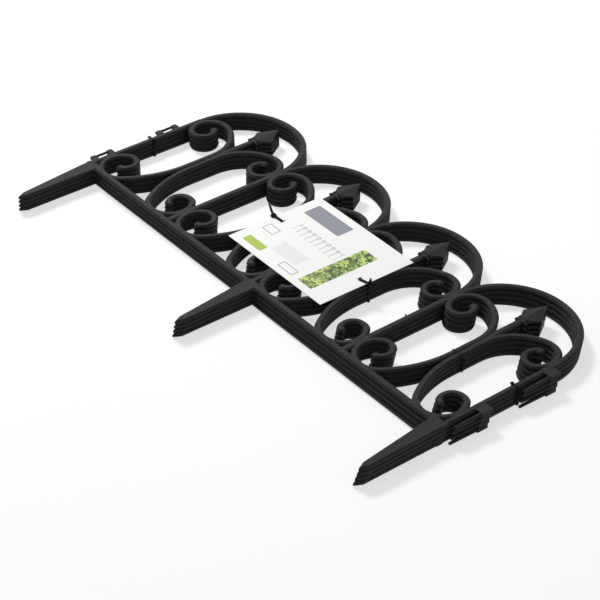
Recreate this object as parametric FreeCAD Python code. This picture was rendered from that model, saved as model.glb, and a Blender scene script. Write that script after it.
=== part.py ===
import FreeCAD, Part
import math
import os

# Fence layout, millimetres
bay_count = 4
bay_pitch = 145.0
panel_count = 4
panel_height = 4.9
panel_gap = 0.2

# Strand section: flat back, low sides that draw in towards it, bevels up to a narrow ridge
side_height = 2.9
back_taper = 0.9
ridge_share = 0.5
hoop_width = 8.0
end_post_width = 8.0
inner_post_width = 9.4
scroll_width = 7.5
rail_width = 8.7

# Posts and hoops; heights start at the foot of the posts
rail_centre = 7.75
hoop_springing = 160.0
hoop_tuck = 0.6
hoop_radius = bay_pitch / 2 - hoop_tuck

# Ground spikes
spike_length = 92.0
spike_root_width = 18.0
spike_end_width = 9.0
spike_point_length = 9.0
spike_chamfer = 1.3
middle_spike_shift = 3.5

# Scrolls: a pair back to back in each bay
scroll_middle = 98.6
scroll_lean = 3.2
upper_straight = 26.3
upper_arcs = ((52.2, 74.0), (21.8, 141.0), (13.2, 200.0))
lower_straight = 10.4
lower_arcs = ((121.0, 35.2), (24.0, 192.0), (13.0, 191.0))
bulb_width = 9.4
bulb_lean = 0.6

# Spear that rises between the scrolls
shaft_width = 8.0
shaft_height = 4.2
shaft_foot = 112.0
collar_width = 15.5
collar_thickness = 3.2
collar_foot = 178.0
collar_spacing = 5.0
head_base_width = 14.0
head_width = 26.4
head_shoulder = 9.2
head_length = 30.5
head_side_height = 2.4
shaft_into_head = 1.0

# Clips at the two ends of a panel
clip_clearance = 0.5
clip_root = 1.5
eye_rod_diameter = 2.9
eye_gap = 5.9
eye_block_height = 3.2
eye_block_length = 6.5
eye_length = 28.0
eye_height_low = 15.8
clip_spacing = 88.8
prong_tip_diameter = 3.2
prong_inset = 0.3
prong_foot = 15.0
lug_length = 13.0
lug_foot = 48.0

# The panels of the pack fan out a little about the foot of the left end post
fan_turn = 0.178

# Ties and card
band_thickness = 0.5
band_width = 2.5
band_clearance = 0.2
band_seat_gap = 0.1
card_margin_left = 5.8
card_margin_right = 4.5
card_depth = 122.5
card_thickness = 0.5
card_centre_y = 100.4
card_turn = -0.9
card_lift = 0.1
slot_overcut = 0.2
slot_length = 6.0
slot_width = 2.0
post_tie_left_y = 91.0
post_tie_right_y = 101.5
left_card_bay = 1
right_card_bay = 2
scroll_tie_bay = 3
card_tie_left_y = 102.0
card_tie_right_y = 98.5
scroll_tie_y = 94.0

# Worked out from the sizes above
half_length = bay_count * bay_pitch / 2
panel_step = panel_height + panel_gap
panel_base = band_thickness + band_seat_gap
stack_top = panel_base + panel_count * panel_step - panel_gap
scroll_pair_width = 2 * scroll_lean + scroll_width
up = FreeCAD.Vector(0, 0, 1)
fan_pivot = FreeCAD.Vector(-half_length, 0, 0)


def section(width, height=panel_height, side=side_height):
    half = width / 2
    ridge = half * ridge_share
    back = half - back_taper
    points = [(-back, 0), (back, 0), (half, side), (ridge, height), (-ridge, height), (-half, side)]
    corners = [FreeCAD.Vector(px, 0, pz) for px, pz in points]
    return Part.Face(Part.makePolygon(corners + corners[:1]))


def placed(face, x, y, heading):
    moved = face.copy()
    moved.rotate(FreeCAD.Vector(0, 0, 0), up, heading - 90)
    moved.translate(FreeCAD.Vector(x, y, 0))
    return moved


def bulb(x, y, across):
    """The rounded end of a curl, swollen a little towards the inside of the curl."""
    centre = FreeCAD.Vector(x, y, 0) + across * bulb_lean
    radius = bulb_width / 2
    drum = Part.makeCone(radius - back_taper, radius, side_height, centre)
    crown = Part.makeCone(radius, radius * ridge_share, panel_height - side_height, centre + up * side_height)
    return drum.fuse(crown)


def strand(x, y, heading, runs, width):
    """Solids along a flat path; each run is a radius and an angle, or 0 and a length."""
    pieces = []
    for radius, amount in runs:
        angle = math.radians(heading)
        face = placed(section(width), x, y, heading)
        if radius == 0:
            step = FreeCAD.Vector(math.cos(angle), math.sin(angle), 0) * amount
            pieces.append(face.extrude(step))
            x += step.x
            y += step.y
            continue
        side = math.copysign(1, amount)
        centre_x = x - side * radius * math.sin(angle)
        centre_y = y + side * radius * math.cos(angle)
        pieces.append(face.revolve(FreeCAD.Vector(centre_x, centre_y, 0), up, amount))
        heading += amount
        angle = math.radians(heading)
        x = centre_x + side * radius * math.sin(angle)
        y = centre_y - side * radius * math.cos(angle)
    inwards = FreeCAD.Vector(centre_x - x, centre_y - y, 0).normalize()
    pieces.append(bulb(x, y, inwards))
    return pieces


def joined(solids):
    whole = solids[0].multiFuse(solids[1:])
    return whole.removeSplitter()


def bar_along_y(x, low, high, width, height=panel_height):
    face = placed(section(width, height), x, low, 90)
    return face.extrude(FreeCAD.Vector(0, high - low, 0))


def bar_along_x(y, low, high, width):
    face = placed(section(width), low, y, 0)
    return face.extrude(FreeCAD.Vector(high - low, 0, 0))


def prism(points, height):
    corners = [FreeCAD.Vector(px, py, 0) for px, py in points]
    face = Part.Face(Part.makePolygon(corners + corners[:1]))
    return face.extrude(up * height)


def scroll(side):
    """One scroll of a bay's pair; side is 1 on the right and -1 on the left."""
    upper = [(0, upper_straight)]
    upper += [(radius, -side * turn) for radius, turn in upper_arcs]
    lower = [(0, lower_straight)]
    lower += [(radius, side * turn) for radius, turn in lower_arcs]
    pieces = strand(side * scroll_lean, scroll_middle, 90, upper, scroll_width)
    pieces += strand(side * scroll_lean, scroll_middle, -90, lower, scroll_width)
    return joined(pieces)


def hoop():
    face = placed(section(hoop_width), hoop_radius, hoop_springing, 90)
    return face.revolve(FreeCAD.Vector(0, hoop_springing, 0), up, 180)


def spear_head():
    base = collar_foot + collar_spacing + collar_thickness
    outline = [
        (-head_base_width / 2, base),
        (head_base_width / 2, base),
        (head_width / 2, base + head_shoulder),
        (0, base + head_length),
        (-head_width / 2, base + head_shoulder),
    ]
    blank = prism(outline, panel_height)
    half = head_width / 2
    roof_points = [
        FreeCAD.Vector(-half, base, 0),
        FreeCAD.Vector(half, base, 0),
        FreeCAD.Vector(half, base, head_side_height),
        FreeCAD.Vector(0, base, panel_height),
        FreeCAD.Vector(-half, base, head_side_height),
    ]
    roof = Part.Face(Part.makePolygon(roof_points + roof_points[:1]))
    return blank.common(roof.extrude(FreeCAD.Vector(0, head_length, 0)))


def spear():
    base = collar_foot + collar_spacing + collar_thickness
    pieces = [bar_along_y(0, shaft_foot, base + shaft_into_head, shaft_width, shaft_height)]
    for index in range(2):
        low = collar_foot + index * collar_spacing
        pieces.append(bar_along_y(0, low, low + collar_thickness, collar_width))
    pieces.append(spear_head())
    return joined(pieces)


def flat_edges(solid, level, root):
    """The edges that lie at one level, apart from those beyond the root."""
    found = []
    for edge in solid.Edges:
        box = edge.BoundBox
        at_level = abs(box.ZMin - level) < panel_gap and abs(box.ZMax - level) < panel_gap
        if at_level and box.YMin < root:
            found.append(edge)
    return found


def spike(left_root):
    """A stake from the rail down, right side straight, left side tapered, upper edges chamfered."""
    right = left_root + spike_root_width
    left_end = right - spike_end_width
    tip = (left_end + right) / 2
    shoulder = -(spike_length - spike_point_length)
    root = rail_centre + rail_width / 2
    outline = [
        (left_root, root),
        (left_root, 0),
        (left_end, shoulder),
        (tip, -spike_length),
        (right, shoulder),
        (right, root),
    ]
    blank = prism(outline, panel_height)
    top_rim = flat_edges(blank, panel_height, rail_centre)
    chamfered = blank.makeChamfer(spike_chamfer, top_rim)
    back_rim = flat_edges(chamfered, 0, rail_centre)
    return chamfered.makeChamfer(back_taper, back_rim)


def rod_along_y(x, z, low, high, low_radius, high_radius):
    foot = FreeCAD.Vector(x, low, z)
    ahead = FreeCAD.Vector(0, 1, 0)
    if low_radius == high_radius:
        return Part.makeCylinder(low_radius, high - low, foot, ahead)
    return Part.makeCone(low_radius, high_radius, high - low, foot, ahead)


def eye(low):
    """Left end: a round rod between two blocks, with a slot behind it."""
    post_face = -half_length - end_post_width / 2
    outer = post_face - eye_gap - eye_rod_diameter
    high = low + eye_length
    pieces = []
    for start in (low, high - eye_block_length):
        end = start + eye_block_length
        inner = post_face + clip_root
        corners = [(outer, start), (inner, start), (inner, end), (outer, end)]
        pieces.append(prism(corners, eye_block_height))
    radius = eye_rod_diameter / 2
    rod_low = low + clip_root
    rod_high = high - clip_root
    pieces.append(rod_along_y(outer + radius, eye_block_height / 2, rod_low, rod_high, radius, radius))
    return pieces


def hook(rise):
    """Right end: a lug on the post carrying a prong that drops into the next panel's eye."""
    post_face = half_length + end_post_width / 2
    prong_near = post_face + eye_rod_diameter + clip_clearance
    prong_diameter = eye_gap - 2 * clip_clearance
    prong_far = prong_near + prong_diameter
    low = lug_foot + rise
    high = low + lug_length
    inner = post_face - clip_root
    lug = [(inner, low), (prong_far, low), (prong_far, high), (inner, high)]
    prong_x = (prong_near + prong_far) / 2
    root_radius = min(prong_diameter, panel_height - 2 * prong_inset) / 2
    tip_radius = prong_tip_diameter / 2
    prong_z = panel_height / 2
    prong = rod_along_y(prong_x, prong_z, prong_foot + rise, low + clip_root, tip_radius, root_radius)
    return [prism(lug, panel_height), prong]


def fence_panel():
    left = -half_length - end_post_width / 2
    right = half_length + end_post_width / 2
    solids = [bar_along_x(rail_centre, left, right, rail_width)]
    for index in range(bay_count + 1):
        at_end = index in (0, bay_count)
        width = end_post_width if at_end else inner_post_width
        x = index * bay_pitch - half_length
        solids.append(bar_along_y(x, rail_centre, hoop_springing, width))
    right_scroll = scroll(1)
    left_scroll = scroll(-1)
    one_hoop = hoop()
    one_spear = spear()
    for index in range(bay_count):
        shift = FreeCAD.Vector((index + 0.5) * bay_pitch - half_length, 0, 0)
        for form in (one_hoop, left_scroll, right_scroll, one_spear):
            copy = form.copy()
            copy.translate(shift)
            solids.append(copy)
    solids.append(spike(left))
    solids.append(spike(middle_spike_shift - spike_root_width / 2))
    solids.append(spike(right - spike_root_width))
    for rise in (0, clip_spacing):
        solids += eye(eye_height_low + rise)
        solids += hook(rise)
    return joined(solids)


def fan_angle(index):
    return -fan_turn * (panel_count - 1 - index)


def fan_lean(x, y):
    """How far a point of the lowest panel lies off the same point of the top one."""
    point = FreeCAD.Vector(x, y, 0)
    turn = FreeCAD.Rotation(up, fan_angle(0))
    arm = point - fan_pivot
    return turn.multVec(arm) - arm


def band(x, y, width, roof):
    """A flat band drawn round a leaning stack of bars of one width."""
    lean = fan_lean(x, y).x
    reach = width / 2 + band_clearance
    inner = [
        (x + lean - reach, band_thickness),
        (x + lean + reach, band_thickness),
        (x + reach, roof),
        (x - reach, roof),
    ]
    outer = [
        (inner[0][0] - band_thickness, 0),
        (inner[1][0] + band_thickness, 0),
        (inner[2][0] + band_thickness, roof + band_thickness),
        (inner[3][0] - band_thickness, roof + band_thickness),
    ]
    faces = []
    for ring in (outer, inner):
        corners = [FreeCAD.Vector(px, y - band_width / 2, pz) for px, pz in ring]
        faces.append(Part.Face(Part.makePolygon(corners + corners[:1])))
    loop = faces[0].cut(faces[1])
    return loop.extrude(FreeCAD.Vector(0, band_width, 0))


def bay_centre(bay):
    return (bay + 0.5) * bay_pitch - half_length


def card_slot(bay, side, tie_y):
    """The hole where a tie passes through the card beside its scrolls."""
    reach = scroll_pair_width / 2 + band_clearance + band_thickness / 2
    slot = Part.makeBox(slot_width, slot_length, card_thickness + 2 * slot_overcut)
    slot_x = bay_centre(bay) + side * reach - slot_width / 2
    slot_foot = stack_top + card_lift - slot_overcut
    slot.translate(FreeCAD.Vector(slot_x, tie_y - slot_length / 2, slot_foot))
    return slot


def card():
    left = bay_centre(left_card_bay) - card_margin_left
    right = bay_centre(right_card_bay) + card_margin_right
    centre = FreeCAD.Vector((left + right) / 2, card_centre_y, stack_top + card_lift)
    sheet = Part.makeBox(right - left, card_depth, card_thickness)
    sheet.translate(FreeCAD.Vector((left - right) / 2, -card_depth / 2, 0))
    sheet.rotate(FreeCAD.Vector(0, 0, 0), up, card_turn)
    sheet.translate(centre)
    slots = [
        card_slot(left_card_bay, 1, card_tie_left_y),
        card_slot(right_card_bay, -1, card_tie_right_y),
    ]
    return sheet.cut(slots)


os.makedirs("parts", exist_ok=True)
shapes = {}
panel = fence_panel()
for index in range(panel_count):
    layer = panel.copy()
    layer.rotate(fan_pivot, up, fan_angle(index))
    layer.translate(up * (panel_base + index * panel_step))
    shapes["panel_%d" % (index + 1)] = layer

over_stack = stack_top + card_lift
over_card = over_stack + card_thickness + card_lift

left_post = (-half_length, post_tie_left_y, end_post_width, over_stack)
right_post = (half_length, post_tie_right_y, end_post_width, over_stack)
left_pair = (bay_centre(left_card_bay), card_tie_left_y, scroll_pair_width, over_card)
right_pair = (bay_centre(right_card_bay), card_tie_right_y, scroll_pair_width, over_card)
free_pair = (bay_centre(scroll_tie_bay), scroll_tie_y, scroll_pair_width, over_stack)
shapes["post_tie_left"] = band(*left_post)
shapes["post_tie_right"] = band(*right_post)
shapes["card_tie_left"] = band(*left_pair)
shapes["card_tie_right"] = band(*right_pair)
shapes["scroll_tie"] = band(*free_pair)
shapes["label_card"] = card()

box = FreeCAD.BoundBox()
for shape in shapes.values():
    box.add(shape.BoundBox)
home = FreeCAD.Vector(-box.Center.x, -box.Center.y, -box.ZMin)
for name, shape in shapes.items():
    shape.translate(home)
    shape.exportStep(os.path.join("parts", name + ".step"))
    print(name, len(shape.Solids), shape.isValid(), round(shape.Volume / 1000, 2), "cm3")
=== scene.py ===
import math

import bpy
from mathutils import Matrix, Vector


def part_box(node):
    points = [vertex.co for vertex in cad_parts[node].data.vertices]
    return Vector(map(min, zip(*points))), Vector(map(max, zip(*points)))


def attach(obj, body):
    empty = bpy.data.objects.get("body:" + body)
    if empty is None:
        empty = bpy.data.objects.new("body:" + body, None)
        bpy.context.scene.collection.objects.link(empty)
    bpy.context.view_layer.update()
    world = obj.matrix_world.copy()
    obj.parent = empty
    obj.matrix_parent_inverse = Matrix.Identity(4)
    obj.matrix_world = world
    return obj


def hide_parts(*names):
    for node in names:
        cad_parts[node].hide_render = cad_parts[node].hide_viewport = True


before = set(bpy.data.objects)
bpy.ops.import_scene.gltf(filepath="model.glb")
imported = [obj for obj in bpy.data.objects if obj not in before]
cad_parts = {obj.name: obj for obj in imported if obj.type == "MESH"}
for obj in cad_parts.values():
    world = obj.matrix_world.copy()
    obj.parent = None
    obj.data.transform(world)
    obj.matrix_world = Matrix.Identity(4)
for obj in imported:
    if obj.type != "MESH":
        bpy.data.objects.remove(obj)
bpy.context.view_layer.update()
print("frame loaded")


# small helpers for the node trees

def setInput(node, name, value):
    node.inputs[name].default_value = value


def mathNode(tree, operation, first, second):
    node = tree.nodes.new("ShaderNodeMath")
    node.operation = operation
    for socket, value in zip(node.inputs, (first, second)):
        if isinstance(value, (int, float)):
            socket.default_value = value
        else:
            tree.links.new(value, socket)
    return node.outputs["Value"]


def rangeNode(tree, value, low, high, toLow=0.0, toHigh=1.0):
    node = tree.nodes.new("ShaderNodeMapRange")
    for name, number in (("From Min", low), ("From Max", high), ("To Min", toLow), ("To Max", toHigh)):
        setInput(node, name, number)
    tree.links.new(value, node.inputs["Value"])
    return node.outputs["Result"]


def noiseNode(tree, vector, scale, detail, roughness=0.5):
    node = tree.nodes.new("ShaderNodeTexNoise")
    setInput(node, "Scale", scale)
    setInput(node, "Detail", detail)
    setInput(node, "Roughness", roughness)
    tree.links.new(vector, node.inputs["Vector"])
    return node.outputs["Fac"]


def colourMix(tree, factor, first, second):
    node = tree.nodes.new("ShaderNodeMix")
    node.data_type = "RGBA"
    tree.links.new(factor, node.inputs["Factor"])
    for name, colour in (("A", first), ("B", second)):
        if isinstance(colour, tuple):
            node.inputs[name].default_value = colour + (1,)
        else:
            tree.links.new(colour, node.inputs[name])
    return node.outputs["Result"]


def newMaterial(name):
    mat = bpy.data.materials.new(name)
    mat.use_nodes = True
    tree = mat.node_tree
    tree.nodes.clear()
    out = tree.nodes.new("ShaderNodeOutputMaterial")
    shader = tree.nodes.new("ShaderNodeBsdfPrincipled")
    tree.links.new(shader.outputs["BSDF"], out.inputs["Surface"])
    return mat, tree, shader


# node groups that several finishes share

def newGroup(name, inputs, outputs):
    group = bpy.data.node_groups.new(name, "ShaderNodeTree")
    for label, kind in inputs:
        group.interface.new_socket(name=label, in_out="INPUT", socket_type=kind)
    for label, kind in outputs:
        group.interface.new_socket(name=label, in_out="OUTPUT", socket_type=kind)
    return group, group.nodes.new("NodeGroupInput"), group.nodes.new("NodeGroupOutput")


# how far the rounded normal leans from the flat one, as a cosine, where the painted edge highlight starts
# and where it is full
highlightLean = {"start": 0.99, "full": 0.8, "samples": 8}


# the rounded normal of the edges, and a mask along them for a painted highlight where the shoulders catch
# light
def makeEdgeRoundingAndHighlight():
    group, given, result = newGroup(
        "edgeRoundingAndHighlight",
        [("Radius", "NodeSocketFloat")],
        [("Mask", "NodeSocketFloat"), ("Normal", "NodeSocketVector")])
    rounded = group.nodes.new("ShaderNodeBevel")
    rounded.samples = highlightLean["samples"]
    group.links.new(given.outputs["Radius"], rounded.inputs["Radius"])
    flat = group.nodes.new("ShaderNodeNewGeometry")
    dot = group.nodes.new("ShaderNodeVectorMath")
    dot.operation = "DOT_PRODUCT"
    group.links.new(rounded.outputs["Normal"], dot.inputs[0])
    group.links.new(flat.outputs["Normal"], dot.inputs[1])
    paintedHighlight = rangeNode(group, dot.outputs["Value"], highlightLean["start"], highlightLean["full"])
    group.links.new(paintedHighlight, result.inputs["Mask"])
    group.links.new(rounded.outputs["Normal"], result.inputs["Normal"])
    return group


# broad clouds of tone, and the pebbled grain with its finer noise
cloudTone = {"scale": 38.0, "detail": 4.0, "roughness": 0.6}
pebbleGrain = {"smoothness": 0.6, "fineDetail": 3.0}


def makeMouldGrain():
    group, given, result = newGroup(
        "mouldGrain",
        [("Vector", "NodeSocketVector"), ("Size", "NodeSocketFloat")],
        [("Clouds", "NodeSocketFloat"), ("Height", "NodeSocketFloat")])
    clouds = noiseNode(group, given.outputs["Vector"], **cloudTone)
    pebble = group.nodes.new("ShaderNodeTexVoronoi")
    pebble.feature = "SMOOTH_F1"
    setInput(pebble, "Smoothness", pebbleGrain["smoothness"])
    group.links.new(given.outputs["Vector"], pebble.inputs["Vector"])
    group.links.new(given.outputs["Size"], pebble.inputs["Scale"])
    fine = group.nodes.new("ShaderNodeTexNoise")
    setInput(fine, "Detail", pebbleGrain["fineDetail"])
    group.links.new(given.outputs["Vector"], fine.inputs["Vector"])
    group.links.new(given.outputs["Size"], fine.inputs["Scale"])
    height = mathNode(group, "ADD", pebble.outputs["Distance"], fine.outputs["Fac"])
    group.links.new(clouds, result.inputs["Clouds"])
    group.links.new(height, result.inputs["Height"])
    return group


boxSoftness = 0.12    # half the width of a printed edge, in the units of the vector


def makeRoundedBox():
    # one inside a box with round corners, nought outside it
    group, given, result = newGroup(
        "roundedBox",
        [("Vector", "NodeSocketVector"), ("Centre", "NodeSocketVector"), ("Half Size", "NodeSocketVector"),
         ("Corner", "NodeSocketFloat")],
        [("Mask", "NodeSocketFloat")])
    steps = []
    for operation in ("SUBTRACT", "ABSOLUTE", "SUBTRACT", "MAXIMUM", "MULTIPLY", "LENGTH"):
        node = group.nodes.new("ShaderNodeVectorMath")
        node.operation = operation
        if steps:
            group.links.new(steps[-1].outputs["Vector"], node.inputs[0])
        steps.append(node)
    group.links.new(given.outputs["Vector"], steps[0].inputs[0])
    group.links.new(given.outputs["Centre"], steps[0].inputs[1])
    group.links.new(given.outputs["Half Size"], steps[2].inputs[1])
    steps[3].inputs[1].default_value = (0, 0, 0)
    steps[4].inputs[1].default_value = (1, 1, 0)
    gap = mathNode(group, "SUBTRACT", steps[5].outputs["Value"], given.outputs["Corner"])
    group.links.new(rangeNode(group, gap, boxSoftness, -boxSoftness), result.inputs["Mask"])
    return group


edgeRoundingAndHighlight = makeEdgeRoundingAndHighlight()
mouldGrain = makeMouldGrain()
roundedBox = makeRoundedBox()


# black moulded plastic of the panels and the ties

# the third colour is a painted highlight, laid along the rounded edges
panelPlastic = {
    "dark": (0.0125, 0.0125, 0.0127), "light": (0.0235, 0.0235, 0.0238), "paintedHighlight": (0.07, 0.07, 0.071),
    "roughness": (0.38, 0.5), "gloss": 0.08,
    "edgeRadius": 0.001, "grainSize": 650.0, "grainDepth": 0.0006, "grooveReach": 0.003,
}
tiePlastic = {
    "dark": (0.002, 0.002, 0.002), "light": (0.004, 0.004, 0.004), "paintedHighlight": (0.008, 0.008, 0.008),
    "roughness": (0.38, 0.5), "gloss": 0.08,
    "edgeRadius": 0.0002, "grainSize": 1600.0, "grainDepth": 0.00004, "grooveReach": 0.001,
}
threadPlastic = {**panelPlastic, "edgeRadius": 0.0002, "grooveReach": 0.0002}

# what the clouds of tone do to the painted edge highlight and the roughness, and the grooves to the gloss
# as painted shade: from, to, lowest, highest
plasticResponse = {
    "highlightPatches": (0.35, 0.7, 0.35, 1.0), "roughness": (0.3, 0.7), "groove": (0.35, 0.9, 0.1, 1.0),
    "grooveSamples": 8, "grainStrength": 0.7,
}


def blackPlastic(name, look):
    mat, tree, shader = newMaterial(name)
    coord = tree.nodes.new("ShaderNodeTexCoord")
    grain = tree.nodes.new("ShaderNodeGroup")
    grain.node_tree = mouldGrain
    setInput(grain, "Size", look["grainSize"])
    tree.links.new(coord.outputs["Object"], grain.inputs["Vector"])
    edging = tree.nodes.new("ShaderNodeGroup")
    edging.node_tree = edgeRoundingAndHighlight
    setInput(edging, "Radius", look["edgeRadius"])
    # painted highlight on the rounded edges, broken into patches by the clouds of tone
    highlightPatches = rangeNode(tree, grain.outputs["Clouds"], *plasticResponse["highlightPatches"])
    paintedHighlight = mathNode(tree, "MULTIPLY", edging.outputs["Mask"], highlightPatches)
    base = colourMix(tree, grain.outputs["Clouds"], look["dark"], look["light"])
    tree.links.new(colourMix(tree, paintedHighlight, base, look["paintedHighlight"]), shader.inputs["Base Color"])
    rough = rangeNode(tree, grain.outputs["Clouds"], *plasticResponse["roughness"], *look["roughness"])
    tree.links.new(rough, shader.inputs["Roughness"])
    bump = tree.nodes.new("ShaderNodeBump")
    setInput(bump, "Strength", plasticResponse["grainStrength"])
    setInput(bump, "Distance", look["grainDepth"])
    tree.links.new(grain.outputs["Height"], bump.inputs["Height"])
    tree.links.new(edging.outputs["Normal"], bump.inputs["Normal"])
    tree.links.new(bump.outputs["Normal"], shader.inputs["Normal"])
    # painted shade: where ambient occlusion finds the grooves between the stacked mouldings, the gloss is
    # cut, so they stay dark
    groove = tree.nodes.new("ShaderNodeAmbientOcclusion")
    groove.samples = plasticResponse["grooveSamples"]
    setInput(groove, "Distance", look["grooveReach"])
    paintedGrooveShade = rangeNode(tree, groove.outputs["AO"], *plasticResponse["groove"])
    tree.links.new(mathNode(tree, "MULTIPLY", paintedGrooveShade, look["gloss"]), shader.inputs["Specular IOR Level"])
    return mat


panelFinish = blackPlastic("blackMouldedPlastic", panelPlastic)
tieFinish = blackPlastic("blackTieBand", tiePlastic)
threadFinish = blackPlastic("blackThread", threadPlastic)


# printed card, laid out in millimetres from its middle

cardPrint = {
    "turn": -0.9,
    "paper": (0.75, 0.75, 0.74), "back": (0.6, 0.6, 0.58),
    "ink": (0.1, 0.1, 0.11), "slate": (0.2, 0.205, 0.245), "lime": (0.31, 0.43, 0.035),
    "leafDark": (0.01, 0.028, 0.004), "leafMid": (0.11, 0.2, 0.02), "leafPale": (0.6, 0.73, 0.2),
    "leafSize": 0.62, "leafShade": (0.2, 5.0, 0.75), "leafPatch": (0.12, 4.0, 0.7),
    "shadeRange": (0.46, 0.57), "cellRange": (0.2, 0.45), "patchRange": (0.45, 0.55),
    "leafEdge": (0.5, 0.9, 0.0, 0.6),
    "leafBand": ((40.0, -8.0), (11.0, 44.0), 1.0),
    "slateBlock": ((-36.0, 40.0), (29.0, 11.0), 2.0),
    "limeBlock": ((-50.0, -47.0), (15.0, 5.5), 1.5),
    "outlineWidth": 0.8, "outlineCorner": 1.5, "innerCorner": 1.2,
    "outlines": (((-60.0, -18.0), (9.0, 6.0)), ((8.0, -48.0), (12.0, 5.0))),
    "rules": ((-12.0, -30.0), (20.0, 9.0)), "ruleStep": 2.4, "ruleLine": (0.4, 0.2),
    "buds": ((-12.0, 6.0), (36.0, 8.0)), "budStep": 8.0, "budRadius": 2.3,
    "budInset": 0.4, "budLine": (1.0, 0.7), "stemLine": (0.75, 0.5), "stemStart": 0.2,
    "topFacing": (0.4, 0.6), "fibre": (1.6, 4.0, 0.6), "fibreRange": (0.3, 0.7), "roughness": (0.42, 0.55),
    "fibreStrength": 0.25, "fibreDepth": 0.00005, "gloss": 0.4,
}


def boxMask(tree, vector, centre, half, corner=0.0):
    node = tree.nodes.new("ShaderNodeGroup")
    node.node_tree = roundedBox
    tree.links.new(vector, node.inputs["Vector"])
    node.inputs["Centre"].default_value = (*centre, 0)
    node.inputs["Half Size"].default_value = (half[0] - corner, half[1] - corner, 0)
    setInput(node, "Corner", corner)
    return node.outputs["Mask"]


def makePrintedCard(look):
    mat, tree, shader = newMaterial("printedCard")
    coord = tree.nodes.new("ShaderNodeTexCoord")
    plan = tree.nodes.new("ShaderNodeMapping")
    plan.vector_type = "TEXTURE"
    low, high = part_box("label_card")
    plan.inputs["Location"].default_value = ((low[0] + high[0]) / 2, (low[1] + high[1]) / 2, 0)
    plan.inputs["Rotation"].default_value = (0, 0, math.radians(look["turn"]))
    plan.inputs["Scale"].default_value = (0.001, 0.001, 0.001)
    tree.links.new(coord.outputs["Object"], plan.inputs["Vector"])
    place = plan.outputs["Vector"]
    axes = tree.nodes.new("ShaderNodeSeparateXYZ")
    tree.links.new(place, axes.inputs["Vector"])

    # leaves: small cells in three greens
    cells = tree.nodes.new("ShaderNodeTexVoronoi")
    setInput(cells, "Scale", look["leafSize"])
    tree.links.new(place, cells.inputs["Vector"])
    shade = noiseNode(tree, place, *look["leafShade"])
    cellTone = tree.nodes.new("ShaderNodeSeparateColor")
    tree.links.new(cells.outputs["Color"], cellTone.inputs["Color"])
    patches = noiseNode(tree, place, *look["leafPatch"])
    greens = colourMix(tree, rangeNode(tree, shade, *look["shadeRange"]), look["leafDark"], look["leafMid"])
    lights = mathNode(tree, "MULTIPLY", rangeNode(tree, cellTone.outputs["Red"], *look["cellRange"]),
                      rangeNode(tree, patches, *look["patchRange"]))
    leaves = colourMix(tree, lights, greens, look["leafPale"])
    between = rangeNode(tree, cells.outputs["Distance"], *look["leafEdge"])
    leaves = colourMix(tree, between, leaves, look["leafDark"])

    # grey line work: ruled lines, outlined boxes and a row of buds on stems
    inks = []
    ruled = mathNode(tree, "PINGPONG", axes.outputs["Y"], look["ruleStep"] / 2)
    lines = rangeNode(tree, ruled, *look["ruleLine"])
    inks.append(mathNode(tree, "MULTIPLY", lines, boxMask(tree, place, *look["rules"])))
    for centre, half in look["outlines"]:
        outer = boxMask(tree, place, centre, half, look["outlineCorner"])
        within = [side - look["outlineWidth"] for side in half]
        inner = boxMask(tree, place, centre, within, look["innerCorner"])
        inks.append(mathNode(tree, "SUBTRACT", outer, inner))
    across = mathNode(tree, "PINGPONG", axes.outputs["X"], look["budStep"] / 2)
    (middleX, middleY), (halfX, halfY) = look["buds"]
    up = mathNode(tree, "SUBTRACT", axes.outputs["Y"], middleY + halfY - look["budRadius"])
    squares = mathNode(tree, "ADD", mathNode(tree, "MULTIPLY", across, across),
                       mathNode(tree, "MULTIPLY", up, up))
    ring = mathNode(tree, "SUBTRACT", mathNode(tree, "SQRT", squares, 0),
                    look["budRadius"] - look["budInset"])
    bud = rangeNode(tree, mathNode(tree, "ABSOLUTE", ring, 0), *look["budLine"])
    stem = mathNode(tree, "MULTIPLY", rangeNode(tree, across, *look["stemLine"]),
                    rangeNode(tree, up, -look["budRadius"], -look["budRadius"] - look["stemStart"]))
    inks.append(mathNode(tree, "MULTIPLY", mathNode(tree, "MAXIMUM", bud, stem),
                         boxMask(tree, place, (middleX, middleY), (halfX, halfY))))

    colour = look["paper"]
    for mask, ink in ((boxMask(tree, place, *look["leafBand"]), leaves),
                      (boxMask(tree, place, *look["slateBlock"]), look["slate"]),
                      (boxMask(tree, place, *look["limeBlock"]), look["lime"])):
        colour = colourMix(tree, mask, colour, ink)
    for mask in inks:
        colour = colourMix(tree, mask, colour, look["ink"])
    facing = tree.nodes.new("ShaderNodeNewGeometry")
    side = tree.nodes.new("ShaderNodeSeparateXYZ")
    tree.links.new(facing.outputs["Normal"], side.inputs["Vector"])
    printed = rangeNode(tree, side.outputs["Z"], *look["topFacing"])
    fibre = noiseNode(tree, place, *look["fibre"])
    toned = colourMix(tree, rangeNode(tree, fibre, *look["fibreRange"]), look["back"], look["paper"])
    tree.links.new(colourMix(tree, printed, toned, colour), shader.inputs["Base Color"])
    rough = rangeNode(tree, fibre, *look["fibreRange"], *look["roughness"])
    tree.links.new(rough, shader.inputs["Roughness"])
    bump = tree.nodes.new("ShaderNodeBump")
    setInput(bump, "Strength", look["fibreStrength"])
    setInput(bump, "Distance", look["fibreDepth"])
    tree.links.new(fibre, bump.inputs["Height"])
    tree.links.new(bump.outputs["Normal"], shader.inputs["Normal"])
    setInput(shader, "Specular IOR Level", look["gloss"])
    return mat


cardFinish = makePrintedCard(cardPrint)

for name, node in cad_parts.items():
    finish = tieFinish
    if name.startswith("panel"):
        finish = panelFinish
    if name == "label_card":
        finish = cardFinish
    node.data.materials.clear()
    node.data.materials.append(finish)
print("finishes on the frame")


# ties: flat bands round the stack, with their knots and tails; places and sizes in millimetres

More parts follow.
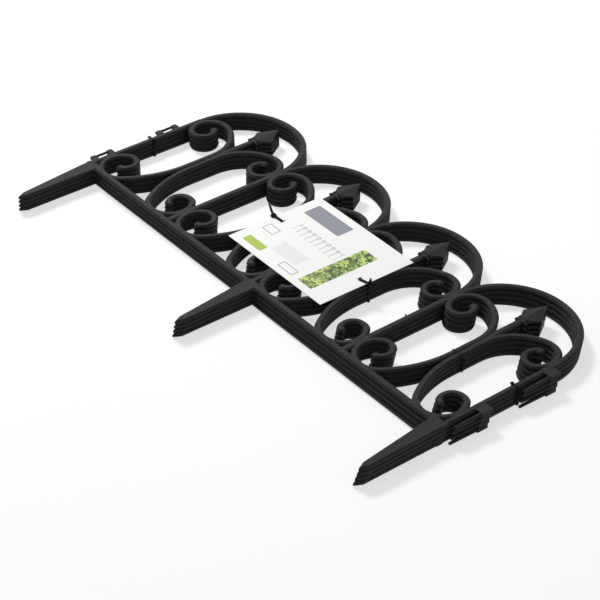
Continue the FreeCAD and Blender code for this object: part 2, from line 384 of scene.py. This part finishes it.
tieBand = {"thickness": 0.5, "bevel": 0.13, "topCut": 1.9, "shoulderDrop": 2.4, "tailRadius": 1.05}
tailShape = {"sides": 10, "taper": 0.7}
knotShape = {
    "loops": ((0.3, 0.4), (1.2, 1.9)), "thickness": 0.5, "flat": (1.0, 0.9, 0.75), "segments": (20, 8),
}
smoothAngle = 40
weldGap = 0.05

tieDetails = {
    "post_tie_left": {
        "lean": 0.85, "knot": (-294.6, 21.2, 21.0), "knotSize": 1.5,
        "tails": [[(-286.8, 22.6, 21.2), (-284.9, 24.6, 21.9), (-283.5, 26.4, 21.6)]],
    },
    "post_tie_right": {
        "lean": 0.9, "knot": (286.3, 31.4, 21.6), "knotSize": 1.5,
        "tails": [[(293.0, 32.6, 21.0), (295.4, 33.2, 21.8), (297.7, 34.4, 21.6)]],
    },
    "card_tie_left": {
        "lean": 0.95, "overCard": True, "knot": (-79.3, 31.2, 22.4), "knotSize": 2.6, "tailRadius": 1.5,
        "tails": [[(-79.3, 31.4, 22.2), (-84.0, 32.4, 24.2), (-90.0, 35.0, 26.4), (-96.3, 37.9, 26.9)],
                  [(-79.0, 31.0, 22.4), (-72.0, 31.4, 22.0), (-67.2, 32.0, 22.0), (-65.0, 32.4, 21.4)]],
    },
    "card_tie_right": {
        "lean": 0.92, "underCard": True, "knot": (78.9, 29.9, 22.0), "knotSize": 2.3, "tailRadius": 1.4,
        "tails": [[(78.9, 30.0, 22.0), (77.4, 33.0, 23.2), (73.6, 36.9, 23.6)],
                  [(78.9, 30.0, 22.0), (79.0, 31.2, 24.4), (79.2, 32.2, 26.8)],
                  [(78.9, 30.0, 22.4), (81.8, 32.0, 22.8), (85.0, 34.0, 22.4)],
                  [(78.6, 29.6, 21.8), (74.6, 29.4, 22.4), (69.0, 27.6, 22.1), (65.4, 26.6, 21.4)]],
    },
    "scroll_tie": {
        "lean": 0.9, "width": 0.6, "finish": threadFinish, "tails": [],
        "beadY": (27.4, 26.9, 25.2, 24.1), "beadZ": (18.9, 13.8, 8.7, 3.7), "beadSize": 1.2,
    },
}


def selectWhere(piece, test):
    bpy.ops.object.mode_set(mode="EDIT")
    bpy.ops.mesh.select_mode(type="VERT")
    bpy.ops.mesh.select_all(action="DESELECT")
    bpy.ops.object.mode_set(mode="OBJECT")
    for vertex in piece.data.vertices:
        vertex.select = test(vertex.co)
    bpy.ops.object.mode_set(mode="EDIT")


def applyModifiers(piece):
    for modifier in list(piece.modifiers):
        bpy.ops.object.modifier_apply(modifier=modifier.name)


def addBand(name, route, width):
    # a square is cut down to one edge, and the edge is drawn along the route
    bpy.ops.mesh.primitive_plane_add(size=width, location=route[0])
    band = bpy.context.object
    band.name = name
    bpy.ops.object.transform_apply(location=True, rotation=True, scale=True)
    selectWhere(band, lambda co: co.x > route[0].x)
    bpy.ops.mesh.delete(type="VERT")
    bpy.ops.mesh.select_all(action="SELECT")
    bpy.ops.transform.translate(value=(width / 2, 0, 0))
    for here, there in zip(route, route[1:] + route[:1]):
        bpy.ops.mesh.extrude_region_move(TRANSFORM_OT_translate={"value": there - here})
    bpy.ops.mesh.select_all(action="SELECT")
    bpy.ops.mesh.remove_doubles(threshold=weldGap / 1000)
    bpy.ops.mesh.normals_make_consistent(inside=False)
    bpy.ops.object.mode_set(mode="OBJECT")
    solid = band.modifiers.new("solid", "SOLIDIFY")
    solid.thickness = tieBand["thickness"] / 1000
    solid.offset = 0
    solid.use_even_offset = True
    soft = band.modifiers.new("soft", "BEVEL")
    soft.width = tieBand["bevel"] / 1000
    soft.segments = 2
    applyModifiers(band)
    return band


def addTail(points, radius):
    run = (points[-1] - points[0]).normalized()
    bpy.ops.mesh.primitive_circle_add(vertices=tailShape["sides"], radius=radius, fill_type="NGON",
                                      location=points[0], rotation=run.to_track_quat("Z", "Y").to_euler())
    tail = bpy.context.object
    bpy.ops.object.transform_apply(location=True, rotation=True, scale=True)
    bpy.ops.object.mode_set(mode="EDIT")
    bpy.ops.mesh.select_all(action="SELECT")
    for here, there in zip(points, points[1:]):
        bpy.ops.mesh.extrude_region_move(TRANSFORM_OT_translate={"value": there - here})
    bpy.ops.transform.resize(value=(tailShape["taper"],) * 3, center_override=points[-1])
    bpy.ops.mesh.select_all(action="SELECT")
    bpy.ops.mesh.normals_make_consistent(inside=False)
    bpy.ops.object.mode_set(mode="OBJECT")
    rounding = tail.modifiers.new("round", "SUBSURF")
    rounding.levels = rounding.render_levels = 1
    applyModifiers(tail)
    return tail


def addKnot(place, size):
    # two flattened loops, one drawn through the other
    loops = []
    ringSegments, tubeSegments = knotShape["segments"]
    for tilt, turn in knotShape["loops"]:
        bpy.ops.mesh.primitive_torus_add(major_radius=size, minor_radius=size * knotShape["thickness"],
                                         major_segments=ringSegments, minor_segments=tubeSegments,
                                         location=place, rotation=(tilt, 0, turn))
        loop = bpy.context.object
        bpy.ops.object.transform_apply(location=True, rotation=True, scale=True)
        bpy.ops.object.mode_set(mode="EDIT")
        bpy.ops.mesh.select_all(action="SELECT")
        bpy.ops.transform.resize(value=knotShape["flat"], center_override=place)
        bpy.ops.object.mode_set(mode="OBJECT")
        loops.append(loop)
    return loops


def joinPieces(name, pieces):
    bpy.ops.object.select_all(action="DESELECT")
    for piece in pieces:
        piece.select_set(True)
    bpy.context.view_layer.objects.active = pieces[0]
    bpy.ops.object.join()
    whole = bpy.context.object
    whole.name = name
    bpy.ops.object.shade_smooth_by_angle(angle=math.radians(smoothAngle))
    return whole


def metres(point):
    return Vector(point) / 1000


def tieRoute(low, high, details):
    # the middle of the band in millimetres, once round the stack, with its top corners cut off
    half = tieBand["thickness"] / 2
    left, right = low.x + half, high.x - half
    top, foot = high.z - half, low.z + half
    topRight = right - details["lean"]
    shoulder, cut = top - tieBand["shoulderDrop"], tieBand["topCut"]
    route = [(left + details["lean"], foot), (right, foot)]
    if details.get("overCard"):
        route += [(topRight, top), (left, top)]
    elif details.get("underCard"):
        route += [(topRight, shoulder), (topRight - cut, top), (left, top)]
    else:
        route += [(topRight, shoulder), (topRight - cut, top), (left + cut, top), (left, shoulder)]
    middle = (low.y + high.y) / 2
    return [metres((x, middle, z)) for x, z in route]


def buildTie(node, details):
    low, high = (Vector(corner) * 1000 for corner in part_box(node))
    width = details.get("width", high.y - low.y)
    tailRadius = details.get("tailRadius", tieBand["tailRadius"])
    parts = [addBand(node + "Band", tieRoute(low, high, details), width / 1000)]
    for tail in details["tails"]:
        parts.append(addTail([metres(point) for point in tail], tailRadius / 1000))
    if "knot" in details:
        parts += addKnot(metres(details["knot"]), details["knotSize"] / 1000)
    # beads where the tie bulges over the shoulder of each panel
    for beadY, beadZ in zip(details.get("beadY", ()), details.get("beadZ", ())):
        parts += addKnot(metres((high.x, beadY, beadZ)), details["beadSize"] / 1000)
    tie = joinPieces(node + "Dressed", parts)
    tie.data.materials.clear()
    tie.data.materials.append(details.get("finish", tieFinish))
    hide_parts(node)
    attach(tie, "root")
    return tie


bpy.ops.object.select_all(action="DESELECT")
for node, details in tieDetails.items():
    buildTie(node, details)
print("ties knotted")

# a nub that the mould leaves on the far edge of the third inner post
mouldNub = {"route": [(141.1, 24.6, 19.4), (140.9, 24.9, 20.8), (140.7, 25.3, 22.0)], "radius": 0.8}

nub = addTail([metres(point) for point in mouldNub["route"]], mouldNub["radius"] / 1000)
nub.name = "mouldNub"
nub.data.materials.append(panelFinish)
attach(nub, "root")
print("nub added")


# studio: floor, light and camera

studio = {
    "floorSize": 12.0, "floorGlow": 0.63,
    "floorColour": (0.92, 0.92, 0.92, 1), "skyLight": 0.42,
    "keyPlace": (-1.6, 0.25, 1.9), "keyPower": 60.0, "keySize": 0.7,
}


def shownRays(tree):
    # the camera, mirrors and glass see the backdrop itself, and only the rest is lit by it
    rays = tree.nodes.new("ShaderNodeLightPath")
    mirrored = mathNode(tree, "MAXIMUM", rays.outputs["Is Glossy Ray"], rays.outputs["Is Transmission Ray"])
    return mathNode(tree, "MAXIMUM", rays.outputs["Is Camera Ray"], mirrored)


bpy.ops.object.select_all(action="DESELECT")
bpy.ops.mesh.primitive_plane_add(size=studio["floorSize"], location=(0, 0, 0))
floor = bpy.context.object
floor.name = "floor"
floorWhite, floorTree, floorShader = newMaterial("floorWhite")
setInput(floorShader, "Base Color", studio["floorColour"])
setInput(floorShader, "Roughness", 1.0)
setInput(floorShader, "Specular IOR Level", 0.0)
glow = floorTree.nodes.new("ShaderNodeEmission")
seen = mathNode(floorTree, "MULTIPLY", shownRays(floorTree), studio["floorGlow"])
blend = floorTree.nodes.new("ShaderNodeMixShader")
floorTree.links.new(seen, blend.inputs["Fac"])
floorTree.links.new(floorShader.outputs["BSDF"], blend.inputs[1])
floorTree.links.new(glow.outputs["Emission"], blend.inputs[2])
floorTree.links.new(blend.outputs["Shader"], floorTree.nodes["Material Output"].inputs["Surface"])
floor.data.materials.append(floorWhite)

sky = bpy.data.worlds.new("studioSky")
bpy.context.scene.world = sky
sky.use_nodes = True
skyTree = sky.node_tree
setInput(skyTree.nodes["Background"], "Color", (1, 1, 1, 1))
skyStrength = rangeNode(skyTree, shownRays(skyTree), 0.0, 1.0, studio["skyLight"], 1.0)
skyTree.links.new(skyStrength, skyTree.nodes["Background"].inputs["Strength"])

bpy.ops.object.light_add(type="AREA", location=studio["keyPlace"])
keyLight = bpy.context.object
keyLight.name = "keyLight"
keyLight.data.energy = studio["keyPower"]
keyLight.data.shape = "DISK"
keyLight.data.size = studio["keySize"]
keyLight.rotation_euler = (-Vector(studio["keyPlace"])).to_track_quat("-Z", "Y").to_euler()

# the camera stands to the front right and looks down on the stack
shot = {
    "azimuth": 50.89, "elevation": 35.76, "roll": 0.62,
    "distance": 1.9803, "aim": (0.03457, -0.02399, 0.0006),
    "lens": 116.48, "sensor": 36.0, "reach": 50.0,
}
azimuth, elevation, roll = (math.radians(shot[k]) for k in ("azimuth", "elevation", "roll"))
ahead = Vector((-math.sin(azimuth) * math.cos(elevation),
                math.cos(azimuth) * math.cos(elevation), -math.sin(elevation)))
level = Vector((math.cos(azimuth), math.sin(azimuth), 0))
above = level.cross(ahead)
cameraRight = level * math.cos(roll) + above * math.sin(roll)
cameraUp = above * math.cos(roll) - level * math.sin(roll)
bpy.ops.object.camera_add()
camera = bpy.context.object
camera.name = "mainCamera"
turned = Matrix((cameraRight, cameraUp, -ahead)).transposed().to_4x4()
camera.matrix_world = Matrix.Translation(Vector(shot["aim"]) - ahead * shot["distance"]) @ turned
camera.data.lens = shot["lens"]
camera.data.sensor_width = shot["sensor"]
camera.data.clip_end = shot["reach"]
bpy.context.scene.camera = camera
bpy.context.scene.view_settings.view_transform = "Standard"
print("studio ready")
